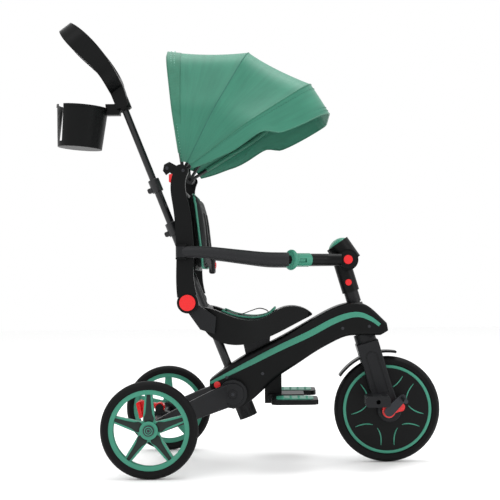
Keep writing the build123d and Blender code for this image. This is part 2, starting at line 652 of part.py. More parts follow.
# ---- backrest and arms -----------------------------------------------------------------------------
def backrest():
    low, high = -post_inner - post_thickness, -post_inner
    eye = disc(recline_x, recline_z, 24, low, high)
    left_edge = Spline((-148, 395), (-150, 452), (-149, 500), (-151, 544), (-155, 594), (-161, 643), (-154, 676))
    right_edge = Spline((-121, 676), (-128, 643), (-120, 601), (-114, 555), (-111, 509), (-111, 441), (-104, 400))
    band = slab(outline(left_edge, ThreePointArc((-154, 676), (-137, 694), (-121, 676)), right_edge,
                        Line((-104, 400), (-148, 395))), low, high)
    side = eye + band - disc(recline_x, recline_z, recline_pin_radius + running_gap, low - 1, high + 1)
    side += disc(hinge_x, hinge_z, 4, -post_inner - 2, -84)
    for z in (arm_height - 16.5, arm_height + 12.5):
        ear = Pos(arm_hinge_x, -(arm_y + post_inner + post_thickness) / 2 - 2, z + 2) * Box(24, arm_y - post_inner - post_thickness + 8, 4)
        side += ear - slab(polygon((-200, 480), (-60, 480), (-60, 520), (-200, 520)), low, high)
    side += Pos(arm_hinge_x, -arm_y, arm_height) * Cylinder(4, 33)
    frame = side + other_side(side)
    for z, x in ((468, -133), (640, -144)):
        frame += disc(x, z, 6, -post_inner, post_inner)
    frame -= pole * post(lower_tube_radius + 2, 200, 560)
    write("backrest_frame", frame)
    rear = Spline((-116, 456), (-119, 520), (-124, 580), (-134, 630))
    front = Spline((-127, 632), (-117, 582), (-112, 520), (-109, 456))
    shell = slab(outline(rear, front, Line((-134, 630), (-127, 632)), Line((-109, 456), (-116, 456))), -112, 112)
    shell += slab(polygon((-133, 462), (-114, 462), (-114, 474), (-133, 474)), -100, -30)
    shell += slab(polygon((-133, 462), (-114, 462), (-114, 474), (-133, 474)), 30, 100)
    shell -= disc(-133, 468, 6, -post_inner, post_inner)
    write("back_shell", shell)
    pad_rear = Spline((-108.5, 458), (-111.5, 520), (-116.5, 582), (-126, 630))
    pad_front = Spline((-110, 634), (-96, 582), (-90, 520), (-88, 462))
    pad = slab(outline(pad_rear, pad_front, Line((-126, 630), (-110, 634)), Line((-88, 462), (-108.5, 458))), -108, 108)
    write("back_pad", pad)
    strap = slab(polygon((-89.9, 520), (-86.9, 520), (-92.6, 584), (-96, 584)), -50, -25)
    buckle = fillet(Box(14, 44, 42).edges().filter_by(Axis.X), 8)
    belt = Pos(-86.7, 0, 505) * Box(8, 74, 30)
    write("harness", strap - pad, other_side(strap) - pad, Pos(-81, 0, 468) * buckle - pad, belt - pad)
    for side_name, sign in (("right", -1), ("left", 1)):
        start = post_inner + post_thickness + side_gap + 1.6
        button = disc(recline_x, recline_z, back_button_radius, *sorted((sign * (start + 6), sign * start)))
        button += disc(recline_x, recline_z, 5, *sorted((sign * start, sign * (start - 8))))
        write(f"back_button_{side_name}", button)


def arms():
    """Foam-covered arms that swing outwards on an upright pin in the post's two ears."""
    for side, sign in (("right", -1), ("left", 1)):
        path = FilletPolyline((arm_hinge_x + 10, sign * arm_y, arm_height), (-83, sign * arm_y, 495.5), (-5, sign * arm_y, 486),
                              (50, sign * arm_y, 479.5), (arm_front_x - 2, sign * arm_y, arm_front_z), radius=150)
        core = sweep(Plane(origin=path @ 0, z_dir=path % 0) * Circle(arm_core_radius), path=path)
        knuckle = Pos(arm_hinge_x, sign * arm_y, arm_height) * Cylinder(knuckle_radius, 24)
        arm = core + knuckle - Pos(arm_hinge_x, sign * arm_y, arm_height) * Cylinder(4 + running_gap, 60)
        write(f"arm_core_{side}", arm)
        foam = sweep(Plane(origin=path @ 0, z_dir=path % 0) * Circle(arm_radius), path=path)
        foam -= sweep(Plane(origin=path @ 0, z_dir=path % 0) * Circle(arm_core_radius), path=path)
        foam += run_between(path @ 1, (arm_front_x + 3, sign * arm_y, arm_front_z), arm_radius)
        foam -= Pos(arm_hinge_x, sign * arm_y, arm_height) * Cylinder(knuckle_radius + 5, 60)
        write(f"arm_foam_{side}", foam)


# ---- canopy ---------------------------------------------------------------------------------------------
def hoop_points(reach, bulge, foot_y, start):
    """One side of a bow in its own plane: (y, distance from the hinge), from its foot to its crown."""
    knee = reach * 0.5
    shoulder = 0.72
    if start < knee:
        first = (foot_y + (bulge - foot_y) * start / knee, start)
        return [first, (bulge, knee), (bulge * shoulder, reach)]
    share = (start - knee) / (reach - knee)
    return [(bulge - bulge * (1 - shoulder) * share, start), (bulge * shoulder, reach)]


def hoop(reach, bulge, foot_y, start=0.0):
    half = hoop_points(reach, bulge, foot_y, start)
    points = half + [(-y, r) for y, r in reversed(half)]
    return FilletPolyline(*points, radius=70)


def hinge_plane(angle):
    a = radians(angle)
    return Plane(origin=(hinge_x, 0, hinge_z), x_dir=(0, 1, 0), z_dir=(sin(a), 0, -cos(a)))


def bow(angle, reach, bulge, foot_y, width=6.0):
    """A tube bent over the seat, with an eye round the hinge pin at each foot."""
    path = hinge_plane(angle) * hoop(reach, bulge, foot_y, 9)
    loop = sweep(Plane(origin=path @ 0, z_dir=path % 0) * Circle(bow_radius), path=path)
    for sign in (-1, 1):
        low, high = sorted((sign * (foot_y - width / 2), sign * (foot_y + width / 2)))
        loop += disc(hinge_x, hinge_z, 11, low, high)
    return loop - disc(hinge_x, hinge_z, 4 + running_gap, -200, 200)


def band(angle, reach, bulge, foot_y, start):
    outer = hoop(reach, bulge, foot_y, start)
    t = panel_thickness
    inner = hoop(reach - t, bulge - t, foot_y - t, start)
    face = flat_face(outer, inner, Line(outer @ 0, inner @ 0), Line(outer @ 1, inner @ 1))
    return hinge_plane(angle) * face


def canopy():
    rear_y, middle_y, front_y = 90.0, 104.0, 118.0
    write("rear_bow", bow(rear_bow_angle, rear_bow_reach - 10, rear_bow_bulge - 10, rear_y))
    write("middle_bow", bow(middle_bow_angle, middle_bow_reach, middle_bow_bulge, middle_y))
    write("front_bow", bow(front_bow_angle, front_bow_reach, front_bow_bulge, front_y))
    clear = bow_radius + 1
    own = bow_radius + 2.8
    rear = loft([band(rear_bow_angle, rear_bow_reach - 10 + own, rear_bow_bulge - 10 + own, rear_y + own + 1, 36),
                 band(middle_bow_angle + 1.5, middle_bow_reach - clear - 1, middle_bow_bulge - clear - 1, middle_y - clear, 36)], ruled=True)
    write("canopy_rear_panel", rear)
    front = loft([band(middle_bow_angle, middle_bow_reach + own, middle_bow_bulge + own, middle_y + own + 1, 36),
                  band(front_bow_angle + 1.5, front_bow_reach - clear - 1, front_bow_bulge - clear - 2, front_y - clear - 1, 36)],
                 ruled=True)
    write("canopy_front_panel", front)
    visor = loft([band(front_bow_angle, front_bow_reach + own, front_bow_bulge + own, front_y + own + 1, 212),
                  band(visor_angle, front_bow_reach + 12, front_bow_bulge + 4, front_y + clear + 3, 222)], ruled=True)
    write("canopy_visor", visor)


def main():
    os.makedirs("parts", exist_ok=True)
    rear_wheels()
    front_wheel()
    front_crank()
    pedals()
    clutch_dial()
    front_fork()
    mudguard()
    t_bar()
    horns()
    frame_beam()
    frame_spine()
    fasteners()
    fold_button()
    rear_legs()
    brake()
    footrest()
    push_pole()
    handle_grip()
    cup_holder()
    seat()
    backrest()
    arms()
    canopy()


main()
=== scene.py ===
import json
import math
import random

import bmesh
import bpy
from mathutils import Matrix, Vector
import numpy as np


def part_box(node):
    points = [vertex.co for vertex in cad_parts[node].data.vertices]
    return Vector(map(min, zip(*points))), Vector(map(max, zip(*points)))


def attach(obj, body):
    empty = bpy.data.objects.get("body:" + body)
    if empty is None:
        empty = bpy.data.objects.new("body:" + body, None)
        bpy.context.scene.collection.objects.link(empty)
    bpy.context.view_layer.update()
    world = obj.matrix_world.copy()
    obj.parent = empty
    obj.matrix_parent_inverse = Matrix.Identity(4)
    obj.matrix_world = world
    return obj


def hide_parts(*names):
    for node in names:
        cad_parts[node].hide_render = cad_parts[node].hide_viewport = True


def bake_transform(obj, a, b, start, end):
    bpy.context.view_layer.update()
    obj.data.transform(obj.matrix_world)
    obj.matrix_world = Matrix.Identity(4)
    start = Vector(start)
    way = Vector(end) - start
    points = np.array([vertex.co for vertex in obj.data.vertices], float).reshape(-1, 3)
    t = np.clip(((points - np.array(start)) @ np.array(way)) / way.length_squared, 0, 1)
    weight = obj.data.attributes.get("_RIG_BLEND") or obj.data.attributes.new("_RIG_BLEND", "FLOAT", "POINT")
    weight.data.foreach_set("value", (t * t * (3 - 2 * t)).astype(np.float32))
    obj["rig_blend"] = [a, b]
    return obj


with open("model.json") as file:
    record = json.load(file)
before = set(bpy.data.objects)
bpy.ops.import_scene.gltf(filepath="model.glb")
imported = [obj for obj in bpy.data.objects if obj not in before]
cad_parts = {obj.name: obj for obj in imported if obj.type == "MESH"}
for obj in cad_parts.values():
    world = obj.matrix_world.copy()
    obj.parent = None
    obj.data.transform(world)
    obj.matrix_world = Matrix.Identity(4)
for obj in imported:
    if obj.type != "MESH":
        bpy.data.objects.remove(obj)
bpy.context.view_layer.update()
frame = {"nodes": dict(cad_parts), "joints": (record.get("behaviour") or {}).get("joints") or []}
joints = {joint["name"]: joint for joint in frame["joints"]}


camera = {"place": (0.0846, -2.706, 0.439), "lens": 82.2, "shift": (-0.066, 0.054), "roll": 0.53}
studio = {"floor": "#fafafa", "room": "#ffffff", "roomStrength": 1.0, "floorSize": 14.0}
lamps = [
    {"name": "keyLight", "place": (-1.6, -2.6, 3.1), "size": 2.0, "power": 26.0},
    {"name": "topLight", "place": (0.3, 0.2, 3.2), "size": 1.8, "power": 58.0},
    {"name": "sideLight", "place": (2.6, -1.4, 1.5), "size": 1.2, "power": 16.0},
    {"name": "backLight", "place": (-1.2, 2.4, 1.9), "size": 1.5, "power": 14.0},
]


def hexColour(code):  # sRGB hex to the linear numbers that the shaders take
    shades = [int(code[i:i + 2], 16) / 255 for i in (1, 3, 5)]
    return [s / 12.92 if s <= 0.04045 else ((s + 0.055) / 1.055) ** 2.4 for s in shades] + [1.0]


def setStudio():
    view = bpy.data.cameras.new("camera")
    view.lens, view.sensor_width = camera["lens"], 36.0
    view.shift_x, view.shift_y = camera["shift"]
    holder = bpy.data.objects.new("camera", view)
    holder.location = camera["place"]
    holder.rotation_euler = (math.radians(90), math.radians(camera["roll"]), 0)
    bpy.context.scene.collection.objects.link(holder)
    bpy.context.scene.camera = holder
    bpy.ops.mesh.primitive_plane_add(size=studio["floorSize"], location=(0, 0, 0))
    floor = bpy.context.object
    floor.name = "studioFloor"
    paint = bpy.data.materials.new("floorPaint")
    paint.use_nodes = True
    shader = paint.node_tree.nodes["Principled BSDF"]
    shader.inputs["Base Color"].default_value = hexColour(studio["floor"])
    shader.inputs["Roughness"].default_value = 0.9
    floor.data.materials.append(paint)
    for lamp in lamps:
        light = bpy.data.lights.new(lamp["name"], "AREA")
        light.size, light.energy = lamp["size"], lamp["power"]
        stand = bpy.data.objects.new(lamp["name"], light)
        stand.location = lamp["place"]
        aim = Vector((0, 0, 0.5)) - Vector(lamp["place"])
        stand.rotation_euler = aim.to_track_quat("-Z", "Y").to_euler()
        bpy.context.scene.collection.objects.link(stand)
    world = bpy.data.worlds.new("studioRoom")
    world.use_nodes = True
    air = world.node_tree.nodes["Background"]
    air.inputs["Color"].default_value = hexColour(studio["room"])
    air.inputs["Strength"].default_value = studio["roomStrength"]
    bpy.context.scene.world = world
    bpy.context.scene.view_settings.view_transform = "Standard"
    print("studio set")


def addNode(tree, kind, settings={}, links={}):
    node = tree.nodes.new(kind)
    for name, value in settings.items():
        if name in node.inputs.keys():
            node.inputs[name].default_value = value
        else:
            setattr(node, name, value)
    for name, source in links.items():
        tree.links.new(source[0].outputs[source[1]], node.inputs[name])
    return node


def startFinish(name, **shaderSettings):
    finish = bpy.data.materials.new(name)
    finish.use_nodes = True
    shader = finish.node_tree.nodes["Principled BSDF"]
    for socket, value in shaderSettings.items():
        shader.inputs[socket.replace("_", " ")].default_value = value
    return finish, finish.node_tree, shader


def mouldedFinish(name, dark, light, roughness, grain, depth, patch=0.05, **shaderSettings):
    # colour drifts between two shades over patches; the skin has an even fine grain
    finish, tree, shader = startFinish(name, **shaderSettings)
    place = addNode(tree, "ShaderNodeTexCoord")
    drift = addNode(tree, "ShaderNodeTexNoise", {"Scale": 1 / patch, "Detail": 3.0}, {"Vector": (place, "Object")})
    tint = addNode(tree, "ShaderNodeMix", {"data_type": "RGBA"}, {"Factor": (drift, "Fac")})
    tint.inputs[6].default_value, tint.inputs[7].default_value = hexColour(dark), hexColour(light)
    tree.links.new(tint.outputs[2], shader.inputs["Base Color"])
    skin = addNode(tree, "ShaderNodeTexNoise", {"Scale": 1 / grain, "Detail": 2.0}, {"Vector": (place, "Object")})
    wear = addNode(tree, "ShaderNodeMapRange", {"To Min": roughness[0], "To Max": roughness[1]}, {"Value": (skin, "Fac")})
    tree.links.new(wear.outputs["Result"], shader.inputs["Roughness"])
    relief = addNode(tree, "ShaderNodeBump", {"Strength": 0.5, "Distance": depth}, {"Height": (skin, "Fac")})
    tree.links.new(relief.outputs["Normal"], shader.inputs["Normal"])
    return finish


def wovenFinish(name, dark, light, thread, depth, roughness, mapName=None, **shaderSettings):
    # two crossed sets of threads, with slubs that run along them
    finish, tree, shader = startFinish(name, **shaderSettings)
    if mapName:
        place, out = addNode(tree, "ShaderNodeUVMap", {"uv_map": mapName}), "UV"
    else:
        place, out = addNode(tree, "ShaderNodeTexCoord"), "Object"
    waves = []
    for direction in ("X", "Y"):
        waves.append(addNode(tree, "ShaderNodeTexWave", {"bands_direction": direction, "Scale": 0.314 / thread, "Distortion": 0.4},
                             {"Vector": (place, out)}))
    weave = addNode(tree, "ShaderNodeMath", {"operation": "MULTIPLY"}, {0: (waves[0], "Fac"), 1: (waves[1], "Fac")})
    stretch = addNode(tree, "ShaderNodeMapping", {"Scale": (1.0, 0.12, 1.0)}, {"Vector": (place, out)})
    slub = addNode(tree, "ShaderNodeTexNoise", {"Scale": 90.0, "Detail": 3.0}, {"Vector": (stretch, "Vector")})
    crease = addNode(tree, "ShaderNodeTexNoise", {"Scale": 9.0, "Detail": 2.0}, {"Vector": (place, out)})
    both = addNode(tree, "ShaderNodeMath", {"operation": "ADD"}, {0: (slub, "Fac"), 1: (crease, "Fac")})
    shade = addNode(tree, "ShaderNodeMapRange", {"From Min": 0.6, "From Max": 1.4}, {"Value": (both, "Value")})
    tint = addNode(tree, "ShaderNodeMix", {"data_type": "RGBA"}, {"Factor": (shade, "Result")})
    tint.inputs[6].default_value, tint.inputs[7].default_value = hexColour(dark), hexColour(light)
    tree.links.new(tint.outputs[2], shader.inputs["Base Color"])
    rough = addNode(tree, "ShaderNodeMapRange", {"To Min": roughness[0], "To Max": roughness[1]}, {"Value": (weave, "Value")})
    tree.links.new(rough.outputs["Result"], shader.inputs["Roughness"])
    threads = addNode(tree, "ShaderNodeBump", {"Strength": 0.35, "Distance": depth}, {"Height": (weave, "Value")})
    folds = addNode(tree, "ShaderNodeBump", {"Strength": 0.6, "Distance": 0.004},
                    {"Height": (crease, "Fac"), "Normal": (threads, "Normal")})
    tree.links.new(folds.outputs["Normal"], shader.inputs["Normal"])
    return finish


def makeFinishes():
    return {
        # polypropylene from a textured mould: near-black, satin, soft wide highlights
        "blackPlastic": mouldedFinish("blackMouldedPlastic", "#040505", "#090a0b", (0.34, 0.46), 0.0009, 0.00012, IOR=1.49,
                                      Specular_IOR_Level=0.14),
        # glass-filled nylon: greyer and drier than the covers
        "greyBlackPlastic": mouldedFinish("blackNylon", "#0c0d0f", "#141518", (0.38, 0.5), 0.0012, 0.00016, IOR=1.53,
                                          Specular_IOR_Level=0.2),
        # the green of the rims, bumpers and stripes: coloured through, satin
        "greenPlastic": mouldedFinish("greenMouldedPlastic", "#2f7a64", "#3a8770", (0.34, 0.46), 0.001, 0.0001, IOR=1.49,
                                      Specular_IOR_Level=0.35),
        # the red of every button: glossy
        "redPlastic": mouldedFinish("redGlossPlastic", "#c9080d", "#e01217", (0.2, 0.3), 0.002, 0.00005, IOR=1.49),
        # powder coat on steel tube: fine orange peel, low gloss
        "blackSteel": mouldedFinish("blackPowderCoat", "#0a0b0d", "#121316", (0.3, 0.42), 0.0022, 0.00012, IOR=1.5,
                                    Specular_IOR_Level=0.4, Coat_Weight=0.15, Coat_Roughness=0.25),
        # blackened steel of the cranks, axle and screws
        "darkSteel": mouldedFinish("blackenedSteel", "#2c2d30", "#3b3c40", (0.28, 0.42), 0.0012, 0.00006, Metallic=0.85),
        # foamed EVA: matt, with fine closed cells at the surface
        "tyreFoam": mouldedFinish("evaTyre", "#060607", "#0d0d0e", (0.5, 0.66), 0.0016, 0.0003, IOR=1.45, Specular_IOR_Level=0.15),
        # NBR foam sleeve on the arms: matt with a soft sheen
        "armFoam": mouldedFinish("nbrFoam", "#0f1012", "#191a1d", (0.5, 0.66), 0.0018, 0.0003, IOR=1.45,
                                 Specular_IOR_Level=0.35, Sheen_Weight=0.05, Sheen_Roughness=0.4),
        # 300-denier plain-woven polyester, coated: threads are drawn 2 mm apart so that they show
        "canopyCloth": wovenFinish("greenPolyester", "#1a6550", "#28775f", 0.002, 0.0002, (0.5, 0.68), "UVMap", Sheen_Weight=0.12,
                                   Sheen_Roughness=0.45),
        # hem cloth: the canopy green painted darker as the shade of an overlapping second layer; the rear sleeve band,
        # tunnels, hem cords and front seam use it
        "canopyHemPaintedShade": wovenFinish("greenPolyesterHemPaintedShade", "#1a6049", "#256e58", 0.002, 0.0002, (0.55, 0.72), None, Sheen_Weight=0.2,
                                 Sheen_Roughness=0.45),
        "seamThread": mouldedFinish("darkSeamThread", "#1d5a49", "#27695a", (0.6, 0.75), 0.0015, 0.0001),
        "paleThread": mouldedFinish("paleSeamThread", "#8fc7b5", "#a5d3c4", (0.6, 0.75), 0.0015, 0.0001),
        # spacer mesh of the back and seat pads: dull black, open knit
        "meshCloth": wovenFinish("blackSpacerMesh", "#0d0f10", "#1b1e1f", 0.003, 0.0006, (0.7, 0.9), None,
                                 Specular_IOR_Level=0.3, Sheen_Weight=0.05),
        "webbing": wovenFinish("blackWebbing", "#0c0d0e", "#161719", 0.002, 0.0003, (0.6, 0.8), None),
        "spokeInlay": mouldedFinish("darkSpokeInlay", "#0a1512", "#12201b", (0.4, 0.52), 0.001, 0.0001, IOR=1.49,
                                    Specular_IOR_Level=0.3),
        "greenPiping": wovenFinish("greenPiping", "#2f7a64", "#3a8770", 0.002, 0.0002, (0.55, 0.7), None),
    }


nodeFinishes = {
    "blackPlastic": ["frame_shell_right", "frame_shell_left", "seat_shell", "footrest_post", "footrest_right", "footrest_left",
                     "mudguard", "front_covers", "t_bar_head", "horn_right", "horn_left", "back_shell", "backrest_frame",
                     "cup_holder", "front_wheel_core", "handle_grip"],
    "greyBlackPlastic": ["seat_mount", "rear_leg_right", "rear_leg_left", "brake_housing", "front_fork", "pole_knob",
                         "pedal_right", "pedal_left", "arm_core_right", "arm_core_left"],
    "greenPlastic": ["rear_rim_right", "rear_rim_left", "grip_end_right", "grip_end_left", "t_bar_cap"],
    "redPlastic": ["brake_pedal", "clutch_dial", "stem_button", "horn_button_right", "horn_button_left", "fold_button",
                   "back_button_right", "back_button_left"],
    "blackSteel": ["frame_spine", "pole_lower", "pole_middle", "pole_upper", "rear_bow", "middle_bow", "front_bow"],
    "darkSteel": ["frame_fasteners", "rear_axle", "front_crank"],
    "tyreFoam": ["rear_tyre_right", "rear_tyre_left", "front_tyre"],
    "armFoam": ["arm_foam_right", "arm_foam_left"],
    "meshCloth": ["back_pad", "seat_pad"],
    "webbing": ["harness"],
    "canopyCloth": ["canopy_rear_panel", "canopy_front_panel", "canopy_visor"],
}


def dressNodes():
    for finishName, nodes in nodeFinishes.items():
        for node in nodes:
            mesh = frame["nodes"][node].data
            mesh.materials.clear()
            mesh.materials.append(finishes[finishName])
    print("CAD nodes dressed")


def clearSelection():
    bpy.ops.object.select_all(action="DESELECT")


def pick(piece):
    clearSelection()
    piece.select_set(True)
    bpy.context.view_layer.objects.active = piece


def applyModifiers(piece):
    pick(piece)
    for modifier in list(piece.modifiers):
        bpy.ops.object.modifier_apply(modifier=modifier.name)


def finishPiece(piece, name, finish, body, smooth=40):
    piece.name = name
    applyModifiers(piece)
    bpy.ops.object.transform_apply(location=True, rotation=True, scale=True)
    bpy.ops.object.shade_smooth_by_angle(angle=math.radians(smooth))
    piece.data.materials.clear()
    piece.data.materials.append(finishes[finish])
    if body:
        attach(piece, body)
    return piece


def formGrid(name, across, along, place):
    # a flat grid, every vertex then laid where place(u, v) says
    clearSelection()
    bpy.ops.mesh.primitive_grid_add(x_subdivisions=across, y_subdivisions=along, size=1)
    piece = bpy.context.object
    piece.name = name
    for vertex in piece.data.vertices:
        vertex.co = place(vertex.co.x + 0.5, vertex.co.y + 0.5)
    return piece


def sizeUnwrap(piece, width, length):
    # the unwrap is scaled to metres so that threads keep their spacing
    for corner in piece.data.uv_layers.active.data:
        corner.uv = (corner.uv[0] * width, corner.uv[1] * length)


def addSolid(piece, thickness, offset=1.0):
    solid = piece.modifiers.new("thickness", "SOLIDIFY")
    solid.thickness, solid.offset = thickness, offset


def addSmooth(piece, levels=1):
    smooth = piece.modifiers.new("smooth", "SUBSURF")
    smooth.levels = smooth.render_levels = levels


def runTube(name, points, radius, closed=False, sides=8):
    # a round bar along a line of points
    line = bpy.data.curves.new(name, "CURVE")
    line.dimensions, line.bevel_depth, line.bevel_resolution = "3D", radius, max(1, sides // 4)
    line.use_fill_caps = True
    spline = line.splines.new("POLY")
    spline.points.add(len(points) - 1)
    for knot, point in zip(spline.points, points):
        knot.co = (*point[:3], 1.0)
        knot.radius = point[3] if len(point) > 3 else 1.0
    spline.use_cyclic_u = closed
    piece = bpy.data.objects.new(name, line)
    bpy.context.scene.collection.objects.link(piece)
    pick(piece)
    bpy.ops.object.convert(target="MESH")
    return bpy.context.object


def stitchRow(name, points, length, gap, radius, finish, body, lift=Vector((0, 0, 0))):
    # short thread bars end to end along a line, all in one mesh
    made = bmesh.new()
    walk, step = 0.0, length + gap
    total = sum((points[i + 1] - points[i]).length for i in range(len(points) - 1))
    while walk + length < total:
        start, end = pointAlong(points, walk), pointAlong(points, walk + length)
        turn = (end - start).to_track_quat("Z", "Y").to_matrix().to_4x4()
        bar = Matrix.Translation((start + end) / 2 + lift) @ turn @ Matrix.Diagonal((radius, radius, length / 2, 1))
        bmesh.ops.create_icosphere(made, subdivisions=1, radius=1.0, matrix=bar)
        walk += step
    mesh = bpy.data.meshes.new(name)
    made.to_mesh(mesh)
    made.free()
    row = bpy.data.objects.new(name, mesh)
    bpy.context.scene.collection.objects.link(row)
    return finishPiece(row, name, finish, body, smooth=60)


def pointAlong(points, distance):
    for i in range(len(points) - 1):
        leg = (points[i + 1] - points[i]).length
        if distance <= leg or i == len(points) - 2:
            return points[i].lerp(points[i + 1], min(1.0, distance / max(leg, 1e-9)))
        distance -= leg


def smoothLine(points, count):
    # a curve through a few points, read at even steps
    anchors = [Vector(p) for p in points]
    anchors = [anchors[0] * 2 - anchors[1]] + anchors + [anchors[-1] * 2 - anchors[-2]]
    made = []
    spans = len(anchors) - 3
    for i in range(spans * 8 + 1):
        span, t = min(i // 8, spans - 1), i / 8 - min(i // 8, spans - 1)
        a, b, c, d = anchors[span:span + 4]
        made.append(0.5 * ((2 * b) + (c - a) * t + (2 * a - 5 * b + 4 * c - d) * t ** 2 + (3 * b - a - 3 * c + d) * t ** 3))
    total = sum((made[i + 1] - made[i]).length for i in range(len(made) - 1))
    return [pointAlong(made, total * k / (count - 1)) for k in range(count)]


canopy = {
    "angles": {"rear": 97.0, "middle": 61.0, "front": 34.0},
    "reach": {"rear": 0.278, "middle": 0.308, "front": 0.348},
    "bulge": {"rear": 0.138, "middle": 0.164, "front": 0.186},
    "foot": {"rear": 0.090, "middle": 0.104, "front": 0.118},
    "tube": 0.004,
    "clearance": 0.002,
    "crownShare": 0.72,
    "kneeShare": 0.5,
    "corner": 0.07,
    "start": 0.024,
    "sag": 0.007,
    "cloth": 0.0011,
    "visorDrops": [(0.03, 19.0), (0.10, 15.5), (0.195, 10.0), (0.235, 14.5), (0.36, 12.6)],
    "tunnel": 0.0052,
}
hinge = Vector(joints["canopy_middle_fold"]["pos_m"])


def hoopRun(bow, extra=0.0, start=None, count=97):
    # the cloth's line over one bow, as (side, distance from the hinge) pairs from foot to foot
    out = canopy["tube"] + canopy["clearance"] + extra
    reach, bulge = canopy["reach"][bow] + out, canopy["bulge"][bow] + out
    foot = canopy["foot"][bow] + out + 0.001
    start = canopy["start"] if start is None else start
    knee, crown = reach * canopy["kneeShare"], bulge * canopy["crownShare"]
    first = (-(foot + (bulge - foot) * start / knee), start)
    half = [first, (-bulge, knee), (-crown, reach)]
    corners = half + [(-side, far) for side, far in reversed(half)]
    corners = [Vector((side, far, 0)) for side, far in corners]
    made = [corners[0]]
    for i in range(1, len(corners) - 1):
        back, ahead = corners[i - 1] - corners[i], corners[i + 1] - corners[i]
        turn = math.pi - back.angle(ahead)
        cut = min(canopy["corner"] * math.tan(turn / 2), back.length * 0.48, ahead.length * 0.48)
        enter, leave = corners[i] + back.normalized() * cut, corners[i] + ahead.normalized() * cut
        for k in range(9):
            t = k / 8
            made.append(enter * (1 - t) ** 2 + corners[i] * 2 * t * (1 - t) + leave * t ** 2)
    made.append(corners[-1])
    total = sum((made[i + 1] - made[i]).length for i in range(len(made) - 1))
    return [pointAlong(made, total * k / (count - 1)) for k in range(count)]


def onHoop(pair, angle):
    a = math.radians(angle)
    return Vector((hinge.x + pair.y * math.cos(a), pair.x, hinge.z + pair.y * math.sin(a)))


def clothBetween(name, first, second, sag, across=14, along=96):
    firstRun, secondRun = hoopRun(first), hoopRun(second)
    angles = canopy["angles"]
    heart = Vector((hinge.x + 0.07, 0, hinge.z + 0.13))
    folds = random.Random(11)
    ripples = [(folds.uniform(3, 9), folds.uniform(0, 6.28), folds.uniform(0.2, 0.6)) for _ in range(4)]

    def place(u, v):
        k = min(along, round(v * along))
        a, b = onHoop(firstRun[k], angles[first]), onHoop(secondRun[k], angles[second])
        point = a.lerp(b, u)
        hang = 4 * u * (1 - u) * (0.25 + 0.75 * math.sin(math.pi * v))
        ripple = sum(size * math.sin(rate * math.pi * v + shift + 2 * u) for rate, shift, size in ripples) * 0.0012
        return point + (heart - point).normalized() * (sag * hang + ripple * 4 * u * (1 - u))

    piece = formGrid(name, across, along, place)
    sizeUnwrap(piece, 0.18, 0.78)
    return piece


def turnFacesOut(piece, centre):
    # cloth faces point away from the middle of the canopy
    score = sum(face.normal.dot(face.center - centre) * face.area for face in piece.data.polygons)
    if score < 0:
        piece.data.flip_normals()


def fanWeights(piece, first, second):
    # the fold turns with the angle about the hinge, as cloth does between two bows
    start, end = canopy["angles"][first], canopy["angles"][second]
    weights = piece.data.attributes["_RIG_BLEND"]
    for vertex in piece.data.vertices:
        angle = math.degrees(math.atan2(vertex.co.z - hinge.z, vertex.co.x - hinge.x))
        weights.data[vertex.index].value = max(0.0, min(1.0, (start - angle) / (start - end)))


def makeCanopy():
    heart = Vector((hinge.x + 0.07, 0, hinge.z + 0.1))
    panels = [("canopyRearCloth", "rear", "middle", "backrest", "canopy_middle", "canopy_rear_panel"),
              ("canopyFrontCloth", "middle", "front", "canopy_middle", "canopy_front", "canopy_front_panel")]
    for name, first, second, bodyA, bodyB, node in panels:
        piece = clothBetween(name, first, second, canopy["sag"])
        turnFacesOut(piece, heart)
        addSmooth(piece)
        addSolid(piece, canopy["cloth"])
        finishPiece(piece, name, "canopyCloth", None, smooth=50)
        start, end = onHoop(Vector((0, 0.2, 0)), canopy["angles"][first]), onHoop(Vector((0, 0.2, 0)), canopy["angles"][second])
        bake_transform(piece, bodyA, bodyB, start=start, end=end)
        fanWeights(piece, first, second)
        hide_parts(node)
    makeVisor(heart)
    makeSeams()


def visorDrop(far):
    table = canopy["visorDrops"]
    for (a, dropA), (b, dropB) in zip(table, table[1:]):
        if far <= b:
            t = max(0.0, (far - a) / (b - a))
            return dropA + (dropB - dropA) * t * t * (3 - 2 * t)
    return table[-1][1]


def onVisor(run, k, u, lift=0.0):
    pair = run[k]
    angle = canopy["angles"]["front"] - u * visorDrop(pair.y)
    grown = Vector((pair.x * (1 + 0.02 * u * u), pair.y + lift + 0.006 * u * u * min(1.0, pair.y / 0.3), 0))
    return onHoop(grown, angle)


def makeVisor(heart):
    run = hoopRun("front")
    piece = formGrid("canopyVisorCloth", 10, 96, lambda u, v: onVisor(run, min(96, round(v * 96)), u))
    sizeUnwrap(piece, 0.08, 0.9)
    turnFacesOut(piece, heart)
    addSmooth(piece)
    addSolid(piece, canopy["cloth"])
    finishPiece(piece, "canopyVisorCloth", "canopyCloth", "canopy_front", smooth=50)
    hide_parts("canopy_visor")
    hem = [onVisor(run, k, 1.0, 0.0006) for k in range(97)]
    edge = runTube("visorHem", [tuple(p) for p in hem], 0.0014)
    finishPiece(edge, "visorHem", "canopyHemPaintedShade", "canopy_front")
    for index, share in enumerate((0.80, 0.90)):
        row = [onVisor(run, k, share, 0.0016) for k in range(22, 76)]
        stitchRow(f"visorStitch{index + 1}", row, 0.004, 0.0025, 0.0007, "seamThread", "canopy_front")


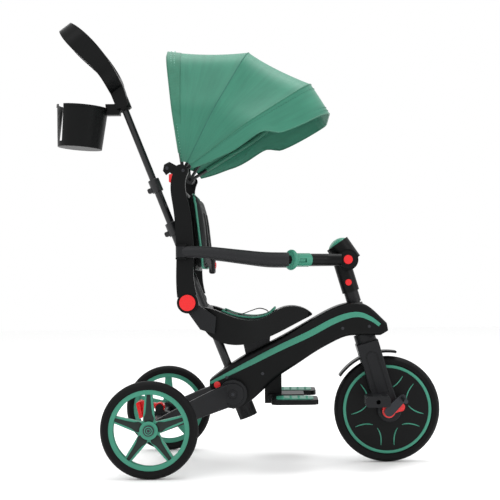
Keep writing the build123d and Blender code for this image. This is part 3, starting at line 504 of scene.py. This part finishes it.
def sleeveBand(name, bow, first, last, startAt, endAt, body, lift):
    # a second layer of cloth laid over the first beside a bow, a tunnel for the tube; its darker green is painted shade
    # of the overlap
    run = hoopRun(bow, extra=lift)
    picked = run[startAt:endAt]
    other = {"rear": "middle", "front": "middle"}[bow]
    far = hoopRun(other, extra=lift)[startAt:endAt]
    angles = canopy["angles"]

    def place(u, v):
        k = round(v * (len(picked) - 1))
        share = first + (last - first) * u
        near, away = onHoop(picked[k], angles[bow]), onHoop(far[k], angles[other])
        return near.lerp(away, share) + (hinge - near).normalized() * canopy["sag"] * 4 * share * (1 - share) * 0.75

    band = formGrid(name, 4, len(picked) - 1, place)
    turnFacesOut(band, Vector((hinge.x + 0.07, 0, hinge.z + 0.1)))
    addSolid(band, 0.0007)
    finishPiece(band, name, "canopyHemPaintedShade", body, smooth=60)
    return band


def makeSeams():
    sleeveBand("rearSleeve", "rear", 0.0, 0.16, 12, 85, "backrest", 0.0016)
    for bow, body in (("rear", "backrest"), ("middle", "canopy_middle"), ("front", "canopy_front")):
        run = hoopRun(bow, extra=-canopy["tube"] - canopy["clearance"], start=0.045)
        tunnel = runTube(f"{bow}Tunnel", [tuple(onHoop(pair, canopy["angles"][bow])) for pair in run], canopy["tunnel"], sides=16)
        finishPiece(tunnel, f"{bow}Tunnel", "canopyHemPaintedShade", body, smooth=60)
    seams = [("middleSeam", "middle", "canopy_middle", "seamThread", 0.0013, 0.0006),
             ("frontSeam", "front", "canopy_front", "canopyHemPaintedShade", 0.0018, 0.0006),
             ("rearHemCord", "rear", "backrest", "canopyHemPaintedShade", 0.0018, 0.0006)]
    for name, bow, body, finish, radius, lift in seams:
        run = hoopRun(bow, extra=lift)
        line = [tuple(onHoop(pair, canopy["angles"][bow])) for pair in run]
        seam = runTube(name, line, radius)
        finishPiece(seam, name, finish, body)
    for index, shift in enumerate((-1.6, -3.2)):
        run = hoopRun("rear", extra=0.0016)
        row = [onHoop(pair, canopy["angles"]["rear"] + shift) for pair in run]
        stitchRow(f"rearStitch{index + 1}", row, 0.004, 0.003, 0.0007, "paleThread", "backrest")
    run = hoopRun("front", extra=0.0018)
    row = [onHoop(pair, canopy["angles"]["front"] - 2.0) for pair in run]
    stitchRow("frontStitch", row, 0.004, 0.0025, 0.0007, "seamThread", "canopy_front")


def inflate(piece, voxel, shrink, pressure, cap):
    # the pad's plain shape, remeshed, drawn in a little and blown up again as stuffed cloth
    pick(piece)
    bpy.ops.object.mode_set(mode="EDIT")
    bpy.ops.mesh.select_all(action="SELECT")
    bpy.ops.mesh.remove_doubles(threshold=0.00001)
    bpy.ops.object.mode_set(mode="OBJECT")
    remesh = piece.modifiers.new("remesh", "REMESH")
    remesh.mode, remesh.voxel_size = "VOXEL", voxel
    draw = piece.modifiers.new("draw", "DISPLACE")
    draw.strength, draw.mid_level = -shrink, 0.0
    soften = piece.modifiers.new("soften", "SMOOTH")
    soften.iterations = 6
    applyModifiers(piece)
    rest = [vertex.co.copy() for vertex in piece.data.vertices]
    puff = piece.modifiers.new("puff", "CLOTH")
    puff.settings.use_pressure, puff.settings.uniform_pressure_force = True, pressure
    puff.settings.effector_weights.gravity = 0.0
    for step in range(1, 21):
        bpy.context.scene.frame_set(step)
    ready = piece.evaluated_get(bpy.context.evaluated_depsgraph_get())
    moved = [vertex.co.copy() for vertex in ready.data.vertices]
    piece.modifiers.remove(puff)
    for vertex, old, new in zip(piece.data.vertices, rest, moved):
        shift = new - old
        vertex.co = old + (shift if shift.length < cap else shift.normalized() * cap)
    bpy.context.scene.frame_set(1)
    addSmooth(piece)
    applyModifiers(piece)


def padFromNode(node, name, finish, body, voxel=0.005, shrink=0.0025, pressure=4.0, cap=0.006):
    source = frame["nodes"][node]
    piece = bpy.data.objects.new(name, source.data.copy())
    bpy.context.scene.collection.objects.link(piece)
    inflate(piece, voxel, shrink, pressure, cap)
    finishPiece(piece, name, finish, body, smooth=180)
    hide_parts(node)
    print(name, len(piece.data.polygons), "faces")
    return piece


backPad = {"corner": 0.022, "piping": 0.0028, "inset": 0.004}
seatPad = {"piping": 0.0025}


def makePads():
    padFromNode("back_pad", "backPad", "meshCloth", "backrest")
    low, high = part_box("back_pad")
    half, top, bottom = high.y - backPad["inset"], high.z - backPad["inset"], low.z + backPad["inset"]
    # the front face leans: its line from the bottom to the top of the pad
    lean = smoothLine([(high.x - 0.003, 0, bottom), (high.x - 0.005, 0, bottom + 0.055), (high.x - 0.0105, 0, bottom + 0.116),
                       (high.x - 0.0235, 0, top)], 24)

    def onFront(side, height):
        share = (height - bottom) / (top - bottom)
        spot = lean[min(23, max(0, round(share * 23)))]
        return (spot.x - 0.003, side, height)

    c, edge = backPad["corner"], []
    for centreSide, centreHeight, first in ((half - c, top - c, 0), (-half + c, top - c, 90), (-half + c, bottom + c, 180),
                                            (half - c, bottom + c, 270)):
        for k in range(7):
            a = math.radians(first + 15 * k)
            edge.append(onFront(centreSide + c * math.cos(a), centreHeight + c * math.sin(a)))
    piping = runTube("backPiping", edge, backPad["piping"], closed=True)
    finishPiece(piping, "backPiping", "greenPiping", "backrest", smooth=60)
    padFromNode("seat_pad", "seatPad", "meshCloth", "frame", voxel=0.004, shrink=0.002, cap=0.005)
    low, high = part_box("seat_pad")
    edges = []
    profile = smoothLine([(low.x + 0.004, 0, 0.362), (low.x + 0.035, 0, 0.3505), (low.x + 0.075, 0, 0.3455),
                          (low.x + 0.107, 0, 0.3515), (high.x - 0.002, 0, 0.366)], 28)
    for sign in (-1, 1):
        side = []
        for k, spot in enumerate(profile):
            share = k / 27
            out = 0.071 - 0.018 * max(0.0, share - 0.55) / 0.45
            side.append((spot.x, sign * out, spot.z + 0.0005))
        edges.append(side)
    loop = edges[0] + list(reversed(edges[1]))
    piping = runTube("seatPiping", loop, seatPad["piping"], closed=True)
    finishPiece(piping, "seatPiping", "greenPiping", "frame", smooth=60)


arms = {"rear": 0.0125, "front": 0.0158, "side": 0.161,
        "lines": [(-0.150, 0.4972), (-0.088, 0.4955), (-0.010, 0.4860), (0.045, 0.4795), (0.0985, 0.4780)]}


def makeArms():
    for side, sign in (("right", -1), ("left", 1)):
        line = smoothLine([(x, sign * arms["side"], z) for x, z in arms["lines"]], 40)
        points = []
        for k, spot in enumerate(line):
            share = k / 39
            girth = arms["rear"] + (arms["front"] - arms["rear"]) * min(1.0, share * 1.25)
            if share < 0.03:
                girth *= 0.82
            if share > 0.985:
                girth *= 0.9
            points.append((*spot, girth))
        sleeve = runTube(f"armSleeve_{side}", points, 1.0, sides=32)
        bevel = sleeve.modifiers.new("edge", "BEVEL")
        bevel.width, bevel.segments = 0.002, 2
        finishPiece(sleeve, f"armSleeve_{side}", "armFoam", f"arm_{side}")
        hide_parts(f"arm_foam_{side}")
    print("arms made")


stripe = {
    "top": [(-0.0896, 0.1965), (-0.0037, 0.2438), (0.0682, 0.2809), (0.1399, 0.3141), (0.1937, 0.3420), (0.2330, 0.3559),
            (0.2652, 0.3574), (0.2935, 0.3446), (0.3130, 0.3290)],
    "widths": [0.006, 0.010, 0.013, 0.014, 0.0145, 0.0145, 0.014, 0.012, 0.008],
    "thickness": 0.0012,
}


def makeStripes():
    for side, sign in (("right", -1), ("left", 1)):
        outer = sign * max(abs(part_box(f"frame_shell_{side}")[0].y), abs(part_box(f"frame_shell_{side}")[1].y))
        line = smoothLine([(x, outer, z) for x, z in stripe["top"]], 61)

        def place(u, v):
            k = round(v * 60)
            ahead, behind = line[min(60, k + 1)], line[max(0, k - 1)]
            run = (ahead - behind).normalized()
            down = Vector((run.z, 0, -run.x))
            share = v * (len(stripe["widths"]) - 1)
            i = min(len(stripe["widths"]) - 2, int(share))
            width = stripe["widths"][i] + (stripe["widths"][i + 1] - stripe["widths"][i]) * (share - i)
            return line[k] + down * width * (u + 0.18)

        band = formGrid(f"beamStripe_{side}", 2, 60, place)
        face = band.data.polygons[0].normal.y
        if face * sign < 0:
            band.data.flip_normals()
        addSolid(band, stripe["thickness"], offset=0.6)
        bevel = band.modifiers.new("edge", "BEVEL")
        bevel.width, bevel.segments, bevel.limit_method = 0.0004, 2, "ANGLE"
        finishPiece(band, f"beamStripe_{side}", "greenPlastic", "frame")
    print("stripes made")


def plateFrom(name, outline, depth, bevel=0.0006):
    # a flat plate standing in the x-z plane, made from one filled circle whose points become the outline
    clearSelection()
    bpy.ops.mesh.primitive_circle_add(vertices=len(outline), radius=1, fill_type="NGON")
    plate = bpy.context.object
    for vertex, (x, z) in zip(plate.data.vertices, outline):
        vertex.co = (x, 0, z)
    pick(plate)
    bpy.ops.object.mode_set(mode="EDIT")
    bpy.ops.mesh.select_all(action="SELECT")
    bpy.ops.mesh.extrude_region_move(TRANSFORM_OT_translate={"value": (0, depth, 0)})
    bpy.ops.mesh.select_all(action="SELECT")
    bpy.ops.mesh.normals_make_consistent(inside=False)
    bpy.ops.object.mode_set(mode="OBJECT")
    edge = plate.modifiers.new("edge", "BEVEL")
    edge.width, edge.segments, edge.limit_method, edge.angle_limit = bevel, 2, "ANGLE", math.radians(50)
    plate.name = name
    return plate


def copyTurned(piece, name, turn):
    twin = piece.copy()
    twin.data = piece.data.copy()
    twin.data.transform(turn)
    twin.name = name
    bpy.context.scene.collection.objects.link(twin)
    return twin


def joinPieces(pieces, name):
    clearSelection()
    for piece in pieces:
        piece.select_set(True)
    bpy.context.view_layer.objects.active = pieces[0]
    bpy.ops.object.join()
    joined = bpy.context.object
    joined.name = name
    return joined


rearSpoke = {"inlay": [(0.0020, 0.0795), (0.0040, 0.0770), (0.0058, 0.050), (0.0074, 0.037), (0.0116, 0.0260), (0.0108, 0.0215),
                       (0.0056, 0.0150)],
             "proud": 0.0012, "spokes": 5, "spokeHalf": 0.006}


def makeRearSpokes():
    for side, sign in (("right", -1), ("left", 1)):
        centre = Vector(joints[f"rear_wheel_{side}_spin"]["pos_m"])
        middle = sum((corner.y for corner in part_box(f"rear_tyre_{side}"))) / 2
        outline = rearSpoke["inlay"] + [(-x, z) for x, z in reversed(rearSpoke["inlay"])]
        inlay = plateFrom(f"spokeInlay_{side}", outline, sign * rearSpoke["proud"] * 2, 0.0005)
        applyModifiers(inlay)
        inlay.data.transform(Matrix.Translation((0, middle + sign * (rearSpoke["spokeHalf"] - rearSpoke["proud"]), 0)))
        copies = []
        for k in range(rearSpoke["spokes"]):
            turn = Matrix.Rotation(math.radians(360 / rearSpoke["spokes"] * k), 4, "Y")
            copies.append(copyTurned(inlay, "spoke", Matrix.Translation((centre.x, 0, centre.z)) @ turn))
        bpy.data.objects.remove(inlay)
        inlays = joinPieces(copies, f"spokeInlays_{side}")
        finishPiece(inlays, f"spokeInlays_{side}", "spokeInlay", f"rear_wheel_{side}")
        clearSelection()
        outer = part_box("rear_axle")[0 if sign < 0 else 1].y
        bpy.ops.mesh.primitive_torus_add(major_radius=0.0085, minor_radius=0.0011, major_segments=40, minor_segments=10,
                                         location=(centre.x, outer, centre.z), rotation=(math.radians(90), 0, 0))
        finishPiece(bpy.context.object, f"hubRing_{side}", "greenPlastic", "rear_fork")
        clearSelection()
        bpy.ops.mesh.primitive_torus_add(major_radius=0.0042, minor_radius=0.0008, major_segments=32, minor_segments=8,
                                         location=(centre.x, outer, centre.z), rotation=(math.radians(90), 0, 0))
        finishPiece(bpy.context.object, f"hubDot_{side}", "greenPlastic", "rear_fork")
    print("rear spokes made")


frontStar = {"arms": 5, "first": -90.0, "inner": (0.050, 28.5), "bend": (0.060, 12.5), "outer": (0.086, 10.5), "radius": 0.0015,
             "ring": 0.1005, "ringHalf": 0.0036, "ringFace": 0.0128}


def makeFrontStar():
    centre = Vector(joints["front_wheel_spin"]["pos_m"])

    def onCover(radius, angle, sign):
        face = 0.016 - 0.0025 * (radius - 0.030) / 0.068
        a = math.radians(angle)
        return Vector((centre.x + radius * math.cos(a), sign * face, centre.z + radius * math.sin(a)))

    for side, sign in (("right", -1), ("left", 1)):
        strokes = []
        for arm in range(frontStar["arms"]):
            for lean in (-1, 1):
                base = frontStar["first"] + 72 * arm
                a, b, c = (onCover(radius, base + lean * angle, sign) for radius, angle in
                           (frontStar["inner"], frontStar["bend"], frontStar["outer"]))
                line = []
                for k in range(15):
                    t = k / 14
                    point = a * (1 - t) ** 2 + b * 2 * t * (1 - t) + c * t ** 2
                    girth = 0.45 + 0.55 * min(1.0, 4 * t, 4 * (1 - t))
                    line.append((*point, girth))
                strokes.append(runTube("stroke", line, frontStar["radius"]))
        star = joinPieces(strokes, f"coverStar_{side}")
        finishPiece(star, f"coverStar_{side}", "greenPlastic", "front_wheel", smooth=60)
        clearSelection()
        bpy.ops.mesh.primitive_torus_add(major_radius=frontStar["ring"], minor_radius=frontStar["ringHalf"], major_segments=128,
                                         minor_segments=12, location=(centre.x, sign * frontStar["ringFace"], centre.z),
                                         rotation=(math.radians(90), 0, 0))
        ring = bpy.context.object
        ring.scale = (1, 1, 0.45)
        finishPiece(ring, f"coverRing_{side}", "greenPlastic", "front_wheel", smooth=60)
    print("front cover trim made")


mat = {"width": 0.078, "length": 0.084, "corner": 0.014, "thickness": 0.0014, "dots": 4, "dot": 0.0032}


def roundedBox(halfX, halfY, corner, steps=5):
    outline = []
    for cx, cy, first in ((halfX - corner, halfY - corner, 0), (-halfX + corner, halfY - corner, 90),
                          (-halfX + corner, -halfY + corner, 180), (halfX - corner, -halfY + corner, 270)):
        for k in range(steps + 1):
            a = math.radians(first + 90 * k / steps)
            outline.append((cx + corner * math.cos(a), cy + corner * math.sin(a)))
    return outline


def makeMats():
    for side, sign in (("right", -1), ("left", 1)):
        low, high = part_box(f"footrest_{side}")
        middle = Vector(((low.x + high.x) / 2, sign * (max(abs(low.y), abs(high.y)) - 0.050), high.z))
        outline = roundedBox(mat["length"] / 2, mat["width"] / 2, mat["corner"])
        plate = plateFrom(f"footMat_{side}", outline, -mat["thickness"], 0.0004)
        applyModifiers(plate)
        plate.data.transform(Matrix.Translation(middle) @ Matrix.Rotation(math.radians(-90), 4, "X"))
        parts = [plate]
        for i in range(mat["dots"]):
            for j in range(mat["dots"]):
                clearSelection()
                bpy.ops.mesh.primitive_uv_sphere_add(segments=10, ring_count=6, radius=mat["dot"])
                dot = bpy.context.object
                x = (i - 1.5) * mat["length"] / 4.6
                y = (j - 1.5) * mat["width"] / 4.6
                dot.data.transform(Matrix.Translation(middle + Vector((x, y, mat["thickness"]))) @ Matrix.Diagonal((1, 1, 0.4, 1)))
                parts.append(dot)
        joined = joinPieces(parts, f"footMat_{side}")
        finishPiece(joined, f"footMat_{side}", "greenPlastic", f"footrest_{side}")
    print("foot mats made")


def runRibbon(name, points, width, thickness, finish, body, count=40):
    # flat webbing along a line in the x-z plane, its width across the seat
    line = smoothLine(points, count + 1)

    def place(u, v):
        spot = line[round(v * count)]
        return spot + Vector((0, (u - 0.5) * width, 0))

    band = formGrid(name, 4, count, place)
    addSolid(band, thickness, offset=0.0)
    bevel = band.modifiers.new("edge", "BEVEL")
    bevel.width, bevel.segments, bevel.limit_method = thickness * 0.3, 2, "ANGLE"
    return finishPiece(band, name, finish, body)


harness = {
    "web": 0.0015, "webWidth": 0.022, "shoulderWidth": 0.030, "padThickness": 0.005, "sides": 0.0375,
    "shoulder": [(-0.1080, 1.0, 0.612), (-0.1010, 1.0, 0.590), (-0.0968, 1.0, 0.565), (-0.0935, 1.0, 0.535), (-0.0905, 0.85, 0.508),
                 (-0.0860, 0.55, 0.485)],
    "waist": [(-0.0830, 0.020, 0.462), (-0.0850, 0.042, 0.470), (-0.0905, 0.070, 0.482), (-0.0960, 0.100, 0.490)],
    "crotch": [(-0.030, 0, 0.3515), (-0.012, 0, 0.3530), (0.008, 0, 0.3600), (0.028, 0, 0.3655), (0.045, 0, 0.3610),
               (0.050, 0, 0.3540)],
    "buckle": (-0.0825, 0, 0.468), "buckleSize": (0.014, 0.046, 0.040), "press": (-0.0758, 0, 0.468), "pressRadius": 0.009,
}


def makeHarness():
    for side, sign in (("right", -1), ("left", 1)):
        line = [(x, sign * harness["sides"] * share, z) for x, share, z in harness["shoulder"]]
        runRibbon(f"shoulderWeb_{side}", line, harness["webWidth"], harness["web"], "webbing", "backrest")
        pad = runRibbon(f"shoulderPad_{side}", [(x + 0.002, y, z) for x, y, z in line[1:5]], harness["shoulderWidth"],
                        harness["padThickness"], "meshCloth", "backrest")
        addSmooth(pad)
        applyModifiers(pad)
    clearSelection()
    bpy.ops.mesh.primitive_cube_add(size=1, location=harness["buckle"])
    buckle = bpy.context.object
    buckle.scale = harness["buckleSize"]
    pick(buckle)
    bpy.ops.object.transform_apply(location=True, rotation=True, scale=True)
    bevel = buckle.modifiers.new("round", "BEVEL")
    bevel.width, bevel.segments = 0.0055, 4
    finishPiece(buckle, "harnessBuckle", "greyBlackPlastic", "backrest")
    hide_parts("harness")
    clearSelection()
    bpy.ops.mesh.primitive_uv_sphere_add(segments=24, ring_count=12, radius=harness["pressRadius"], location=harness["press"])
    press = bpy.context.object
    press.scale = (0.35, 1, 1)
    finishPiece(press, "bucklePress", "redPlastic", "backrest")
    for side, sign in (("right", -1), ("left", 1)):
        belt = smoothLine([(x, sign * y, z) for x, y, z in harness["waist"]], 31)

        def place(u, v):
            return belt[round(v * 30)] + Vector((0, 0, (u - 0.5) * harness["webWidth"]))

        strap = formGrid(f"waistWeb_{side}", 3, 30, place)
        addSolid(strap, harness["web"], offset=0.0)
        finishPiece(strap, f"waistWeb_{side}", "webbing", "backrest")
    runRibbon("crotchWeb", harness["crotch"], 0.025, 0.0018, "webbing", "frame")
    print("harness made")


trim = {
    "pivotFace": 0.067, "pivotRing": 0.0100, "pivotRod": 0.0014, "socket": 0.0045, "socketDepth": 0.0012, "socketSink": 0.0003,
    "clip": [(-0.150, 0.690), (-0.168, 0.700), (-0.180, 0.694), (-0.183, 0.680), (-0.176, 0.670), (-0.168, 0.676), (-0.152, 0.668)],
    "clipFace": 0.1385, "clipDepth": 0.006,
    "bolts": [(-0.1735, 0.1443, 0.6855), (-0.1372, 0.1459, 0.6800)], "bolt": 0.0042, "boltDepth": 0.0018,
    "catch": [(-0.1700, 0.655), (-0.1560, 0.648), (-0.1535, 0.664), (-0.1580, 0.676), (-0.1700, 0.672)],
    "catchFace": 0.138, "catchDepth": 0.004,
}


def hexagon(radius):
    return [(radius * math.cos(math.radians(60 * k)), radius * math.sin(math.radians(60 * k))) for k in range(6)]


def sidePlate(name, outline, depth, bevel, place, finish, body):
    plate = plateFrom(name, outline, depth, bevel)
    applyModifiers(plate)
    plate.data.transform(Matrix.Translation(place))
    finishPiece(plate, name, finish, body)


def makeSmallTrim():
    eye = Vector(joints["rear_fold"]["pos_m"])
    for side, sign in (("right", -1), ("left", 1)):
        clearSelection()
        bpy.ops.mesh.primitive_torus_add(major_radius=trim["pivotRing"], minor_radius=trim["pivotRod"], major_segments=48,
                                         minor_segments=10, location=(eye.x, sign * trim["pivotFace"], eye.z),
                                         rotation=(math.radians(90), 0, 0))
        finishPiece(bpy.context.object, f"pivotRing_{side}", "greyBlackPlastic", "rear_fork")
        sidePlate(f"pivotSocket_{side}", hexagon(trim["socket"]), sign * trim["socketDepth"], 0.0003,
                  (eye.x, sign * (trim["pivotFace"] - trim["socketSink"]), eye.z), "darkSteel", "rear_fork")
        sidePlate(f"hoodClip_{side}", trim["clip"], sign * trim["clipDepth"], 0.0012, (0, sign * trim["clipFace"], 0),
                  "blackPlastic", "backrest")
        for index, (x, y, z) in enumerate(trim["bolts"]):
            sidePlate(f"hoodBolt{index + 1}_{side}", hexagon(trim["bolt"]), sign * trim["boltDepth"], 0.0003, (x, sign * y, z),
                      "darkSteel", "backrest")
        sidePlate(f"hoodCatch_{side}", trim["catch"], sign * trim["catchDepth"], 0.0010, (0, sign * trim["catchFace"], 0),
                  "redPlastic", "backrest")
    print("small trim made")


setStudio()
finishes = makeFinishes()
dressNodes()
makeCanopy()
makePads()
makeArms()
makeStripes()
makeRearSpokes()
makeFrontStar()
makeMats()
makeHarness()
makeSmallTrim()
